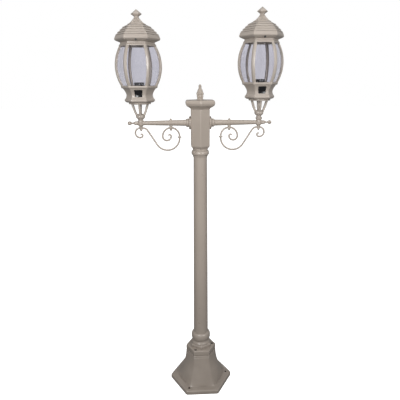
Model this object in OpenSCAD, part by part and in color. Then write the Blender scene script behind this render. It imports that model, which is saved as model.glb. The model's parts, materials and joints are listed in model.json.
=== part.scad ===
// Twin-arm street lamp post in cast aluminium: a hexagonal plinth, a tapered
// round column, a hexagonal head block and two arms that carry a lantern each.
// Millimetres. +Z is up, the front is -Y, the arms run along X, and the origin
// is the middle of the foot on the ground. Six-sided castings are outlines
// turned with six sides, so their radii run to the corners.

/* [Plinth] */
// Corner radius of the foot
foot_r = 146; // [120:1:180]
// Height of the plinth casting
plinth_h = 158; // [120:1:220]
// Corner radius of the plinth's neck and of the base cover
neck_r = 70; // [60:1:80]
// Wall of the plinth casting
plinth_wall = 6; // [4:0.5:8]
// Bolt circle of the ground anchors
anchor_pcd = 240; // [200:1:250]
// Diameter of the anchor holes
anchor_d = 9; // [6:0.5:12]

/* [Base cover] */
// Height of the six-sided shoulder
shoulder_h = 26; // [20:1:36]
// Height of the turned hexagon above it
step_h = 20; // [14:1:30]
// Height of the round neck under the column
neck_h = 13; // [8:1:20]
// Bolt circle of the cover screws
cover_pcd = 108; // [100:1:112]
// Diameter of the cover screws
cover_screw_d = 6; // [4:0.5:6]
// Diameter of their socket heads
cover_head_d = 12; // [9:0.5:13]

/* [Column] */
// Length of the column tube
column_l = 896; // [500:1:1400]
// Radius of the column at its foot
column_r1 = 33.3; // [30:0.1:34.5]
// Radius of the column at its head
column_r2 = 28; // [26:0.1:29.5]
// Wall of the column tube
column_wall = 4; // [3:0.5:5]
// Outer radius of the bead at the column's foot
bead_r = 43.6; // [40:0.1:48]
// Height of that bead
bead_h = 39; // [30:1:44]
// Outer radius of the ring at the column's head
ring_r = 36.6; // [34:0.1:40]
// Height of the rounded part of that ring
ring_h = 20; // [14:1:24]

/* [Head block] */
// Width of the head block across its flats
block_af = 76; // [70:1:90]
// Height of the block with its neck
block_h = 167; // [150:1:220]
// Wall of the block
block_wall = 6; // [4:0.5:8]
// Width of the cap across its flats
cap_af = 117; // [100:1:130]
// Height of the cap
cap_h = 36; // [30:1:44]
// Height of the finial on the cap
finial_h = 60; // [45:1:80]
// Diameter of the tie rod through the post
rod_d = 10; // [8:0.5:12]

/* [Arms] */
// Height of the arms' axis above the column's head
arm_up = 112; // [90:1:125]
// Distance from the post's axis to each lantern's axis
arm_reach = 240; // [200:1:290]
// Radius of an arm at the post
arm_r1 = 12.5; // [11:0.5:15]
// Radius of an arm at the lantern
arm_r2 = 8; // [7:0.5:9]
// Diameter of the wire way in an arm
arm_bore_d = 10; // [9:0.5:11]
// Diameter of the threaded spigot in the block's wall
spigot_d = 16; // [14:0.5:20]
// Diameter of the round flange at the block
flange_d = 52; // [44:1:56]
// Thickness of that flange
flange_t = 8; // [5:0.5:10]
// Distance from the post's axis to the scroll's clip bolt
clip_x = 119; // [110:1:130]
// Diameter of the clip bolt
clip_d = 4; // [3:0.5:4]

/* [Scrolls] */
// Diameter of the scroll rod
scroll_d = 7; // [5:0.5:7]
// Radius of the scroll's large bow
bow_r = 50; // [40:1:55]
// Height of the scroll's eyes under the arm
eye_h = 8; // [8:0.5:10]

/* [Lanterns] */
// Height of the stem from the arm to the bowl
stem_h = 71; // [60:1:90]
// Height of the bowl casting
bowl_h = 55; // [50:1:66]
// Height of the glass between the rings
glass_h = 145; // [110:1:190]
// Largest corner radius of the cage
cage_r = 91.8; // [84:0.1:100]
// Corner radius of the cage at its two rings
cage_end_r = 72.4; // [70:0.1:76]
// Width of a rib on each side of its corner
rib_w = 9.5; // [6:0.5:10]
// Thickness of the ribs
rib_t = 4; // [3:0.5:5]
// Thickness of the glass
glass_t = 3; // [2:0.5:4]
// Height of the roof casting
roof_h = 66; // [55:1:85]
// Corner radius of the eaves
eaves_r = 88.5; // [84:0.5:100]
// Wall of the roof and bowl castings
shell_t = 4; // [3:0.5:5]
// Height of the spire with its knob
spire_h = 49.5; // [40:0.5:60]
// Extra height of the right lantern on its spacer ring
right_lift = 11.5; // [6:0.5:16]
// Diameter of the conduit through the stem
conduit_d = 13; // [12:0.5:14]
// Outer diameter of the lamp holder
holder_d = 39.4; // [37:0.1:44]
// Diameter of the lamp holder's screw shell
socket_d = 26.6; // [25:0.1:27]
// Height of the lamp holder
holder_h = 59; // [50:1:66]

/* [Hidden] */
SIDES = ["left", "right"];
SIDE_PIECES = ["arm", "arm_flange", "arm_tip", "scroll", "lead", "stem", "conduit",
    "bowl", "window", "cage", "lamp_holder", "roof", "spire", "hinge_pin", "lock_screw"];
$fn = 64;

beige = [0.68, 0.64, 0.59];
beige_light = [0.74, 0.70, 0.65];
dark = [0.12, 0.12, 0.13];
steel = [0.62, 0.62, 0.64];
copper_red = [0.55, 0.16, 0.12];
glass = [0.78, 0.80, 0.86, 0.4];

fit = 0.05;       // radial clearance of a shaft in its hole
gap = 0.3;        // clearance between curved neighbours
cos30 = cos(30);
corner = 1 / cos30;

// Levels of the post
z_shoulder = plinth_h + shoulder_h;
z_step = z_shoulder + step_h;
z_column = z_step + neck_h;
z_block = z_column + column_l;
z_cap = z_block + block_h;
z_finial = z_cap + cap_h;
z_arm = z_block + arm_up;

// Base cover and tie rod
cover_bore_r = 28;
web_t = 8;
web_z = z_column - web_t - 4;
rod_r = rod_d / 2;
nut_h = 8;
rod_hole_r = rod_r + 0.2;
rod_into_finial = 18;

// Head block
block_r = block_af / 2 * corner;
block_neck_r = 31;
block_neck_h = 6;
block_chamfer_h = 12;
spigot_h = 30;
spigot_r = column_r2 - column_wall - 0.5;

// Arm
face_x = block_af / 2;
collar_x = face_x + flange_t;
collar_l = 11;
collar_r = 17;
hub_r = 12;
hub_h = 20;
hub_neck_r = 7.5;
hub_neck_h = 5.5;
clip_seat = 12;   // height of the bolt's seat above the arm's axis
barrel_r = 7.5;
barrel_l = 24;
bore_r = arm_bore_d / 2;
locknut_t = 5;
tip_stud_r = 3;
tip_neck_l = 14;
tip_r = 7.6;

// Scroll: the rod's middle runs at scroll_top under the arm
eye_r = 6;
clip_hole_r = clip_d / 2 + 0.1;
scroll_r = scroll_d / 2;
scroll_z = z_arm - hub_h / 2 - hub_neck_h - eye_h / 2;
drop_r = 5.5;
drop_h = 9;

// Lantern levels, from the stem's foot
z_foot = z_arm + hub_h / 2;
z_bowl = stem_h;
z_ring = z_bowl + bowl_h;
ring_t = 10;
z_glass = z_ring + ring_t;
z_collar = z_glass + glass_h;
collar_h = 15;
z_roof = z_collar + collar_h;
z_spire = z_roof + roof_h;
collar_top_r = 67;
conduit_r = conduit_d / 2;
conduit_hole_r = conduit_r + fit;
holder_z = z_bowl + 19;
conduit_top = holder_z + 10;
bowl_floor = 5;
stem_disc = 6;

// Hinge and lock of the roof
hinge_y = collar_top_r * cos30 + 9;
hinge_z = z_roof - 5;
knuckle_r = 4.5;
hinge_pin_r = 2;
leaf_w = 15;
upstand_r = 57;
upstand_h = 8;
mouth_r = 53;
lock_r = 2;
lock_head_r = 3.5;
lock_z = z_roof + 4;
pad_w = 14;
pad_h = 6.8;
pad_y = (collar_top_r + 10) * cos30;
lock_tip_y = collar_top_r * cos30 - 1;

// Arc of the cage in the plane of a corner
function arc_r(h, drop) = (h * h / 4 + drop * drop) / (2 * drop);
cage_arc = arc_r(glass_h, cage_r - cage_end_r);
function cage_at(z) =
    let (d = z - (z_glass + glass_h / 2)) cage_r - cage_arc + sqrt(cage_arc * cage_arc - d * d);

// An outline whose heights are shares of h
function stretch(pts, h) = [for (p = pts) [p[0], p[1] * h]];

// An outline of corner radius and height, turned with six sides
module hex_turn(pts) {
    rotate_extrude($fn = 6) polygon(pts);
}

// An outline of radius and height, turned round
module round_turn(pts) {
    rotate_extrude() polygon(pts);
}

// A hexagonal bar with corners on X
module hex_bar(af, h) {
    cylinder(r = af / 2 * corner, h = h, $fn = 6);
}

// A cylinder along X, from x0 to x1
module x_rod(x0, x1, r1, r2) {
    translate([x0, 0, 0]) rotate([0, 90, 0]) cylinder(r1 = r1, r2 = r2, h = x1 - x0);
}

// A solid from rings of points, closed at both ends
module skin(rings) {
    n = len(rings[0]);
    m = len(rings);
    polyhedron(
        points = [for (r = rings, p = r) p],
        faces = concat(
            [[for (i = [0:n - 1]) i]],
            [for (j = [0:m - 2], i = [0:n - 1])
                [j * n + i, (j + 1) * n + i, (j + 1) * n + (i + 1) % n]],
            [for (j = [0:m - 2], i = [0:n - 1])
                [j * n + i, (j + 1) * n + (i + 1) % n, j * n + (i + 1) % n]],
            [[for (i = [n - 1:-1:0]) (m - 1) * n + i]]));
}

// Corners that carry screws: every second one, starting at +X
module at_corners(r) {
    for (a = [0:120:240]) rotate([0, 0, a]) translate([r, 0, 0]) rotate([0, 0, 15]) children();
}

// ---------------------------------------------------------------- post

foot_edge = 15;
ledge_h = 20;
spot_r = 8;
cavity_foot_r = foot_r - 40;
boss_r = 9;
boss_h = 24;
top_plate = 10;

// Outline of the ledge and the bell above the foot's edge, moved in by inset
function bell(inset) = [for (p = [[foot_r - 4, ledge_h], [foot_r - 30, ledge_h + 1.5],
    [foot_r - 34.5, 24], [foot_r - 38.5, 30], [foot_r - 43, 38], [foot_r - 48, 48], [neck_r + 23, 59],
    [neck_r + 18.5, 70], [neck_r + 14.5, 81], [neck_r + 10.5, 92], [neck_r + 7.2, 103],
    [neck_r + 4.5, 115], [neck_r + 2.2, 127], [neck_r + 0.6, 140], [neck_r, plinth_h]])
    [p[0] - inset, p[1]]];

module plinth() color(beige) difference() {
    hex_turn(concat([[0, 0], [foot_r, 0], [foot_r, foot_edge]], bell(0), [[0, plinth_h]]));
    difference() {
        hex_turn(concat([[0, -1], [cavity_foot_r, -1]],
            [for (p = bell(plinth_wall * 1.6)) if (p[1] > 45 && p[1] < plinth_h - top_plate) p],
            [[neck_r - plinth_wall * 1.6, plinth_h - top_plate], [0, plinth_h - top_plate]]));
        at_corners(cover_pcd / 2) translate([0, 0, plinth_h - top_plate - boss_h])
            cylinder(r = boss_r, h = 60);
    }
    cylinder(r = cover_bore_r, h = 2 * plinth_h);
    at_corners(anchor_pcd / 2) {
        translate([0, 0, -1]) cylinder(d = anchor_d, h = ledge_h + 2);
        translate([0, 0, ledge_h]) cylinder(r = spot_r, h = 60);
    }
    at_corners(cover_pcd / 2) translate([0, 0, plinth_h - 20]) cylinder(d = cover_screw_d + 2 * fit, h = 30);
}

module base_cover() color(beige) difference() {
    union() {
        intersection() {
            hex_turn([[0, plinth_h], [neck_r, plinth_h], [neck_r, z_shoulder - 4],
                [neck_r - 4, z_shoulder], [0, z_shoulder]]);
            cylinder(r = neck_r - 1.5, h = z_shoulder);
        }
        rotate([0, 0, 30]) hex_turn([[0, z_shoulder - 5], [50, z_shoulder - 5], [50, z_step - 6],
            [45, z_step], [0, z_step]]);
        round_turn([[0, z_step - 8], [43, z_step - 8], [43, z_step + 4], [38, z_column], [0, z_column]]);
    }
    difference() {
        translate([0, 0, plinth_h - 1]) cylinder(r = 52, h = shoulder_h - 7);
        at_corners(cover_pcd / 2) translate([0, 0, plinth_h - 2]) cylinder(r = 9, h = shoulder_h);
    }
    translate([0, 0, plinth_h - 1]) cylinder(r = cover_bore_r, h = web_z - plinth_h + 1);
    translate([0, 0, web_z + web_t]) cylinder(r = column_r1 - column_wall, h = 20);
    cylinder(r = rod_hole_r, h = z_column);
    at_corners(cover_pcd / 2) {
        translate([0, 0, plinth_h - 1]) cylinder(d = cover_screw_d + 0.6, h = shoulder_h);
        translate([0, 0, z_shoulder - 9]) cylinder(d = cover_head_d + 1.4, h = 20);
    }
    for (a = [90, 210]) rotate([0, 0, a]) translate([14, 0, web_z - 1]) cylinder(r = 6, h = web_t + 2);
}

module base_screws() color(dark) at_corners(cover_pcd / 2) difference() {
    union() {
        translate([0, 0, plinth_h - 16]) cylinder(d = cover_screw_d, h = shoulder_h + 10);
        translate([0, 0, z_shoulder - 9]) cylinder(d = cover_head_d, h = 6);
    }
    translate([0, 0, z_shoulder - 6]) hex_bar(cover_head_d / 2, 6);
}

module base_bead() color(beige) {
    half = bead_h / 2;
    flat = column_r1 + 3;
    difference() {
        translate([0, 0, z_column]) round_turn(concat([[0, 0]],
            [for (a = [-80:10:80]) [flat + (bead_r - flat) * cos(a), half + half * sin(a) / sin(80)]],
            [[0, bead_h]]));
        translate([0, 0, z_column - 1]) cylinder(r = column_r1 + 0.1, h = bead_h + 2);
    }
}

module column() color(beige) difference() {
    translate([0, 0, z_column]) cylinder(r1 = column_r1, r2 = column_r2, h = column_l);
    translate([0, 0, z_column - 0.01])
        cylinder(r1 = column_r1 - column_wall, r2 = column_r2 - column_wall, h = column_l + 0.02);
}

module column_ring() color(beige) {
    half = ring_h / 2;
    foot = 7;
    difference() {
        translate([0, 0, z_block - ring_h]) round_turn(concat(
            [[0, -foot], [column_r2 + 2.5, -foot], [column_r2 + 2.5, 0]],
            [for (a = [-80:10:80]) [ring_r - half + half * cos(a), half + half * sin(a) / sin(80)]],
            [[0, ring_h]]));
        translate([0, 0, z_block - ring_h - foot - 1]) cylinder(r = column_r2 + 0.3, h = ring_h + foot + 2);
    }
}

module head_block() color(beige_light) difference() {
    z_body = z_block + block_neck_h + block_chamfer_h;
    union() {
        translate([0, 0, z_block - spigot_h]) cylinder(r = spigot_r, h = spigot_h + 1);
        translate([0, 0, z_block]) cylinder(r = block_neck_r, h = block_neck_h + 1);
        rotate([0, 0, 30]) hex_turn([[0, z_block + block_neck_h], [block_neck_r + 3, z_block + block_neck_h],
            [block_r, z_body], [block_r, z_cap], [0, z_cap]]);
    }
    translate([0, 0, z_body]) rotate([0, 0, 30]) hex_bar(block_af - 2 * block_wall, block_h);
    translate([0, 0, z_block - spigot_h - 1]) cylinder(r = 14, h = 2 * block_h);
    translate([0, 0, z_arm]) x_rod(-block_af, block_af, spigot_d / 2 + fit, spigot_d / 2 + fit);
}

module head_cap() color(beige_light) difference() {
    top_r = cap_af / 2 * corner;
    cove = cap_h * 0.72;
    union() {
        rotate([0, 0, 30]) hex_turn(concat([[0, z_cap]],
            [for (a = [0:15:90]) [top_r - (top_r - block_r) * cos(a), z_cap + cove * sin(a)]],
            [[top_r, z_cap + cap_h - 4], [top_r - 4, z_cap + cap_h], [0, z_cap + cap_h]]));
        translate([0, 0, z_cap - 8]) cylinder(r = block_af / 2 - block_wall - 1, h = 9);
    }
    translate([0, 0, z_cap - 9]) cylinder(r = 24, h = cap_h - 3);
    cylinder(r = rod_hole_r, h = 2 * z_cap);
}

module post_finial() color(beige) difference() {
    translate([0, 0, z_finial]) round_turn(stretch([[0, 0], [14, 0], [14, 0.03], [11, 0.09], [14, 0.2],
        [13.2, 0.28], [15.6, 0.38], [14.5, 0.46], [11.5, 0.58], [9, 0.7], [6.4, 0.82], [6.2, 0.9],
        [4, 0.97], [0, 1]], finial_h));
    translate([0, 0, z_finial - 1]) cylinder(r = rod_r + fit, h = rod_into_finial + 2);
}

module tie_rod() color(steel)
    translate([0, 0, web_z - nut_h - 5])
        cylinder(r = rod_r, h = z_finial + rod_into_finial - web_z + nut_h + 5);

module tie_nut() color(steel) translate([0, 0, web_z - nut_h]) difference() {
    hex_bar(1.7 * rod_d, nut_h);
    translate([0, 0, -1]) cylinder(r = rod_r + fit, h = nut_h + 2);
}

module terminal_block() color([0.85, 0.84, 0.8])
    translate([-12, 9, z_block + block_neck_h + block_chamfer_h]) difference() {
        cube([24, 12, 28]);
        for (x = [5, 12, 19]) translate([x, -1, 20]) rotate([-90, 0, 0]) cylinder(r = 2, h = 6);
    }

// ---------------------------------------------------------------- arms

// Places a right-hand piece on its side of the post
module on_side(side) {
    mirror([side == "left" ? 1 : 0, 0, 0]) children();
}

module both_sides() {
    for (side = SIDES) on_side(side) children();
}

module arm(side) color(beige) on_side(side) translate([0, 0, z_arm]) difference() {
    union() {
        x_rod(face_x - block_wall - locknut_t - 4, collar_x, spigot_d / 2, spigot_d / 2);
        x_rod(collar_x, collar_x + collar_l, collar_r, collar_r - 2);
        x_rod(collar_x + collar_l - 0.01, arm_reach, arm_r1, arm_r2);
        x_rod(arm_reach, arm_reach + barrel_l, barrel_r, barrel_r);
        translate([arm_reach, 0, -hub_h / 2]) cylinder(r = hub_r, h = hub_h);
        translate([arm_reach, 0, -hub_h / 2 - hub_neck_h]) cylinder(r = hub_neck_r, h = hub_neck_h + 1);
        translate([clip_x, 0, -hub_h / 2 - hub_neck_h]) cylinder(r = hub_neck_r - 1, h = hub_neck_h + 4);
        translate([clip_x, 0, 0]) cylinder(r = 5.5, h = clip_seat);
    }
    x_rod(0, arm_reach, bore_r, bore_r);
    translate([arm_reach, 0, -hub_h / 2 + 2]) cylinder(r = conduit_hole_r, h = hub_h);
    translate([arm_reach, 0, -hub_h]) cylinder(r = clip_d / 2 + fit, h = hub_h);
    translate([clip_x, 0, -40]) cylinder(r = clip_hole_r, h = 80);
    x_rod(arm_reach + barrel_l - 10, arm_reach + 2 * barrel_l, tip_stud_r + fit, tip_stud_r + fit);
}

module arm_flange(side) color(beige) on_side(side) translate([face_x, 0, z_arm]) rotate([0, 90, 0])
    difference() {
        round_turn([[0, 0], [flange_d / 2, 0], [flange_d / 2, flange_t - 3], [flange_d / 2 - 3, flange_t],
            [0, flange_t]]);
        translate([0, 0, -1]) cylinder(r = spigot_d / 2 + fit, h = flange_t + 2);
    }

module arm_locknuts() color(steel) both_sides()
    translate([face_x - block_wall - locknut_t, 0, z_arm]) rotate([0, 90, 0]) difference() {
        hex_bar(1.4 * spigot_d, locknut_t);
        translate([0, 0, -1]) cylinder(r = spigot_d / 2 + fit, h = locknut_t + 2);
    }

module arm_tip(side) color(beige) on_side(side)
    translate([arm_reach + barrel_l, 0, z_arm]) rotate([0, 90, 0]) {
        round_turn(concat([[0, -9], [tip_stud_r, -9], [tip_stud_r, 0], [5.5, 0], [5, 3], [3.5, 6]],
            [[3.5, tip_neck_l - 2]],
            [for (a = [-60:15:75]) [tip_r * cos(a), tip_neck_l + tip_r + tip_r * sin(a)]],
            [[0, tip_neck_l + 2 * tip_r]]));
    }

// The scroll's middle line: arcs [centre x, centre z, radius, start, end],
// with x outward from the post and z up from scroll_z
knuckle_x = 84.5;
top_r = clip_x - knuckle_x;
inner_r = top_r / 2;
bow_x = knuckle_x + bow_r;
bow_z = -scroll_r - 38;
rise = 58.5;
curl_r = 19.5;
curl_x = arm_reach + 4.3;
shoulder_r = 22;

function arc_pts(c, step, first) = let (n = ceil(abs(c[4] - c[3]) / step))
    [for (i = [first:n]) let (a = c[3] + (c[4] - c[3]) * i / n) [c[0] + c[2] * cos(a), c[1] + c[2] * sin(a)]];

scroll_line = concat(
    arc_pts([clip_x + top_r - 2 * inner_r + 6.5, -top_r, 6.5, 30, 180], 30, 0),
    arc_pts([clip_x + top_r - inner_r, -top_r, inner_r, 180, 360], 20, 1),
    arc_pts([clip_x, -top_r, top_r, 0, 180], 15, 1),
    arc_pts([bow_x, bow_z, bow_r, 180, 270 + rise], 15, 0),
    arc_pts([curl_x - 12, -shoulder_r, shoulder_r, 90 + rise, 90], 15, 0),
    arc_pts([curl_x, -curl_r, curl_r, 90, -90], 20, 0),
    arc_pts([curl_x, -1.5 * curl_r, curl_r / 2, -90, -180], 22.5, 1),
    arc_pts([curl_x - curl_r / 4, -1.5 * curl_r, curl_r / 4, -180, -320], 35, 1));

// Rings of a round rod along a line in the XZ plane
function rod_rings(line, r, sides) = let (m = len(line)) [for (i = [0:m - 1])
    let (
        t = line[min(i + 1, m - 1)] - line[max(i - 1, 0)],
        u = t / norm(t),
        k = i == 0 || i == m - 1 ? 0.6 : 1)
    [for (j = [0:sides - 1]) let (a = 360 * (j + 0.5) / sides)
        [line[i][0] + u[1] * r * k * cos(a), r * k * sin(a), line[i][1] - u[0] * r * k * cos(a)]]];

module scroll(side) color(beige) on_side(side) translate([0, 0, scroll_z]) difference() {
    union() {
        skin(rod_rings(scroll_line, scroll_r, 8));
        for (x = [clip_x, arm_reach]) translate([x, 0, -eye_h / 2]) cylinder(r = eye_r, h = eye_h);
        translate([knuckle_x, 0, bow_z + 1]) cylinder(r = scroll_r + 2, h = 5);
        translate([0, 0, bow_z + 3.3]) x_rod(knuckle_x - 9, knuckle_x + 9, 2.1, 2.1);
    }
    for (x = [clip_x, arm_reach]) translate([x, 0, -eye_h]) cylinder(r = clip_hole_r, h = 2 * eye_h);
}

module clip_bolts() color(beige) both_sides() translate([clip_x, 0, 0]) {
    seat = z_arm + clip_seat;
    round_turn([[0, scroll_z - eye_h / 2 - 6], [clip_d / 2, scroll_z - eye_h / 2 - 6], [clip_d / 2, seat],
        [4.5, seat], [4.5, seat + 2], [3, seat + 5], [0, seat + 7]]);
}

module stem_studs() color(steel) both_sides()
    translate([arm_reach, 0, scroll_z - eye_h / 2 - 6])
        cylinder(d = clip_d, h = z_arm - hub_h / 2 - scroll_z + eye_h / 2 + 6);

module scroll_drops() color(beige) both_sides()
    for (x = [clip_x, arm_reach]) translate([x, 0, scroll_z - eye_h / 2 - drop_h]) difference() {
        round_turn([[0, 0], [2.5, 1], [4, 3], [drop_r, 6], [drop_r, drop_h - 1], [4.5, drop_h], [0, drop_h]]);
        translate([0, 0, drop_h - 7]) cylinder(d = clip_d + 2 * fit, h = 8);
    }

// ---------------------------------------------------------------- lanterns

function lift(side) = side == "right" ? right_lift : 0;

// Places a lantern piece: origin at the stem's foot on the lantern's axis
module on_lantern(side) {
    translate([side == "left" ? -arm_reach : arm_reach, 0, z_foot + lift(side)]) children();
}

module right_stem_ring() color(beige) translate([arm_reach, 0, z_foot]) difference() {
    round_turn([[0, 0], [11, 0], [11, 2], [13.5, 4], [14.5, 8], [11.5, right_lift], [0, right_lift]]);
    translate([0, 0, -1]) cylinder(r = conduit_hole_r, h = right_lift + 2);
}

module conduit(side) color(steel) {
    z0 = -hub_h + 2.5 - lift(side);
    on_lantern(side) difference() {
        translate([0, 0, z0]) cylinder(r = conduit_r, h = conduit_top - z0);
        translate([0, 0, z0 - 1]) cylinder(r = conduit_r - 2, h = conduit_top - z0 + 2);
        translate([0, 0, -hub_h / 2 - lift(side)]) x_rod(-20, 20, 3.5, 3.5);
    }
}

// One bar of the open stem, bowed outwards from the boss to the disc
module stem_bar() {
    n = 8;
    bar_w = 7;
    skin([for (i = [0:n]) let (
            t = i / n,
            z = 20 + (z_bowl - 3 - 20) * t,
            r = 13 + 17 * t)
        [[r - 4, -bar_w / 2, z], [r + 4, -bar_w / 2, z], [r + 4, bar_w / 2, z], [r - 4, bar_w / 2, z]]]);
}

module stem(side) color(beige) on_lantern(side) difference() {
    union() {
        round_turn([[0, 0], [10.5, 0], [10.5, 4], [14, 8], [18.8, 13], [19, 18], [17, 23], [12, 27],
            [0, 27]]);
        for (a = [0:90:270]) rotate([0, 0, a]) stem_bar();
        translate([0, 0, z_bowl - stem_disc]) cylinder(r = 44, h = stem_disc);
    }
    translate([0, 0, -1]) cylinder(r = conduit_hole_r, h = z_bowl + 2);
}

module conduit_nuts() color(steel) for (side = SIDES) on_lantern(side)
    translate([0, 0, z_bowl + bowl_floor]) difference() {
        hex_bar(1.7 * conduit_d, nut_h);
        translate([0, 0, -1]) cylinder(r = conduit_hole_r, h = nut_h + 2);
    }

// Bowl outline: share of the bowl's height and corner radius
function bowl_line(inset) = [for (p = [[56, 0.07], [60.2, 0.17], [58, 0.26], [54, 0.36], [52, 0.48],
    [53.2, 0.62], [57, 0.77], [62.3, 0.9], [65.5, 1]]) [p[0] - inset, z_bowl + p[1] * bowl_h]];

module bowl(side) color(beige) on_lantern(side) difference() {
    hex_turn(concat([[0, z_bowl], [44, z_bowl]], bowl_line(0), [[0, z_ring]]));
    hex_turn(concat([[0, z_bowl + bowl_floor], [50, z_bowl + bowl_floor]],
        [for (p = bowl_line(shell_t * corner)) if (p[1] > z_bowl + bowl_floor + 4) p],
        [[65.5 - shell_t * corner, z_ring + 1], [0, z_ring + 1]]));
    window_cut();
    translate([0, 0, z_bowl - 1]) cylinder(r = conduit_hole_r, h = 20);
}

// The tapered opening in the front of the bowl
window_z0 = z_bowl + bowl_h * 0.41;
window_h = bowl_h * 0.5;
window_w1 = 27.5;
window_w2 = 33;
window_sunk = 0.6;
window_t = 3;

module window_cut() {
    translate([0, -30, window_z0]) rotate([90, 0, 0]) linear_extrude(40)
        polygon([[-window_w1 / 2, 0], [window_w1 / 2, 0], [window_w2 / 2, window_h],
            [-window_w2 / 2, window_h]]);
}

module bowl_solid(inset) {
    hex_turn(concat([[0, z_bowl], [44, z_bowl]], bowl_line(inset), [[0, z_ring]]));
}

module window(side) color(dark) on_lantern(side) intersection() {
    window_cut();
    difference() {
        bowl_solid(window_sunk * corner);
        bowl_solid((window_sunk + window_t) * corner);
    }
}

// One chevron rib at a corner of the cage
module rib() {
    n = 12;
    rings = [for (i = [0:n]) let (
            z = z_glass - 1 + (glass_h + 2) * i / n,
            r = cage_at(min(max(z, z_glass), z_collar)),
            q = r - rib_t * corner)
        [[r, 0, z], [r - rib_w / 2, rib_w * cos30, z],
            [r - rib_w / 2 - rib_t * cos30, rib_w * cos30 - rib_t / 2, z], [q, 0, z],
            [r - rib_w / 2 - rib_t * cos30, -rib_w * cos30 + rib_t / 2, z],
            [r - rib_w / 2, -rib_w * cos30, z]]];
    skin(rings);
}

module knuckle(x0, x1) {
    translate([0, hinge_y, hinge_z]) x_rod(x0, x1, knuckle_r, knuckle_r);
}

module cage(side) color(beige) on_lantern(side) difference() {
    inner = cage_end_r - 13;
    union() {
        hex_turn([[inner, z_ring], [cage_end_r - 3, z_ring], [cage_end_r, z_ring + 3],
            [cage_end_r, z_glass], [inner, z_glass]]);
        hex_turn([[inner, z_collar], [cage_end_r, z_collar], [cage_end_r, z_collar + 3],
            [cage_end_r - 2, z_collar + 8], [collar_top_r, z_collar + 9], [collar_top_r, z_roof],
            [upstand_r, z_roof], [upstand_r, z_roof + upstand_h], [mouth_r, z_roof + upstand_h],
            [mouth_r, z_roof - 5], [inner, z_roof - 5]]);
        for (a = [0:60:300]) rotate([0, 0, a]) rib();
        for (x = [-leaf_w / 2 - 9, leaf_w / 2 + gap]) {
            knuckle(x, x + 9 - gap);
            translate([x, hinge_y - 8, hinge_z - knuckle_r]) cube([9 - gap, 8, knuckle_r]);
        }
    }
    knuckle_bore();
}

module knuckle_bore() {
    translate([0, hinge_y, hinge_z]) x_rod(-leaf_w * 2, leaf_w * 2, hinge_pin_r + fit, hinge_pin_r + fit);
}

// A pane is flat across and bowed up its height, behind two ribs
module pane(side, k) color(glass) on_lantern(side) rotate([0, 0, 60 * k - 30]) {
    n = 10;
    skin([for (i = [0:n]) let (
            z = z_glass + (glass_h - gap) * i / n,
            r = cage_at(z) - rib_t * corner - gap,
            a = r * cos30,
            w1 = r / 2 - gap,
            w2 = w1 - glass_t * tan(30))
        [[a, -w1, z], [a, w1, z], [a - glass_t, w2, z], [a - glass_t, -w2, z]]]);
}

module lamp_holder(side) color(dark) on_lantern(side) translate([0, 0, holder_z]) difference() {
    round_turn([[0, 0], [11, 0], [13, 6], [holder_d / 2 - 1.5, 12], [holder_d / 2, 14],
        [holder_d / 2, holder_h], [0, holder_h]]);
    translate([0, 0, -1]) cylinder(r = conduit_hole_r, h = 12);
    translate([0, 0, holder_h - 31]) cylinder(d = socket_d, h = 32);
    for (a = [0:30:330]) rotate([0, 0, a]) translate([holder_d / 2, 0, holder_h - 4])
        cylinder(r = 1.6, h = 5);
}

// Roof outline: corner radius and share of the roof's height
function roof_line(inset) = [for (p = [[eaves_r - 6, 0.09], [eaves_r - 1.5, 0.14], [eaves_r, 0.2],
    [eaves_r - 0.5, 0.26], [eaves_r - 3.5, 0.36], [eaves_r - 6.5, 0.41], [eaves_r - 11.5, 0.46],
    [eaves_r - 14.5, 0.53], [eaves_r - 23, 0.63], [eaves_r - 26, 0.69], [eaves_r - 34, 0.8],
    [eaves_r - 44, 0.9], [eaves_r - 51, 0.95], [eaves_r - 58, 1]]) [p[0] - inset, z_roof + p[1] * roof_h]];

module roof(side) color(beige) on_lantern(side) difference() {
    union() {
        hex_turn(concat([[0, z_roof], [collar_top_r + 1, z_roof]], roof_line(0), [[0, z_spire]]));
        knuckle(-leaf_w / 2, leaf_w / 2);
        translate([-leaf_w / 2, hinge_y - 4, hinge_z]) cube([leaf_w, 8, 12]);
        translate([-pad_w / 2, -pad_y, lock_z - pad_h / 2]) cube([pad_w, 12, pad_h]);
    }
    hex_turn(concat([[0, z_roof - 1], [collar_top_r - 8, z_roof - 1], [collar_top_r - 8, z_roof + 3]],
        [for (p = roof_line(shell_t * 1.7)) if (p[1] > z_roof + 12 && p[1] < z_spire - 5) p],
        [[0, z_spire - 5]]));
    knuckle_bore();
    translate([0, 0, lock_z]) rotate([90, 0, 0]) cylinder(r = lock_r + fit, h = pad_y + 4);
    translate([0, -pad_y, lock_z]) rotate([90, 0, 0]) cylinder(r = lock_head_r + 0.7, h = 20);
    translate([0, 0, z_spire - 10]) cylinder(r = 3 + fit, h = 20);
}

module spire(side) color(beige) on_lantern(side) union() {
    hex_turn(concat([[0, z_spire]], [for (p = [[30, 0], [29, 0.02], [24.6, 0.08], [21.8, 0.15], [19, 0.21],
        [14.2, 0.29], [12, 0.37], [9.8, 0.44], [9.2, 0.51], [13.5, 0.58], [20.8, 0.71], [13, 0.84],
        [0, 1]]) [p[0], z_spire + p[1] * spire_h]]));
    translate([0, 0, z_spire - 12]) cylinder(r = 3, h = 13);
}

module hinge_pin(side) color(steel) on_lantern(side) translate([0, hinge_y, hinge_z]) {
    reach = leaf_w / 2 + 9;
    x_rod(-reach - 1, reach + 1, hinge_pin_r, hinge_pin_r);
    x_rod(-reach - 2.5, -reach - 1, 3.2, 3.2);
}

module lock_screw(side) color(dark) on_lantern(side) translate([0, -pad_y, lock_z]) rotate([90, 0, 0]) {
    shank = pad_y - lock_tip_y;
    translate([0, 0, -shank]) cylinder(r = lock_r, h = shank + 1);
    cylinder(r = lock_head_r, h = 4);
}

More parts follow.
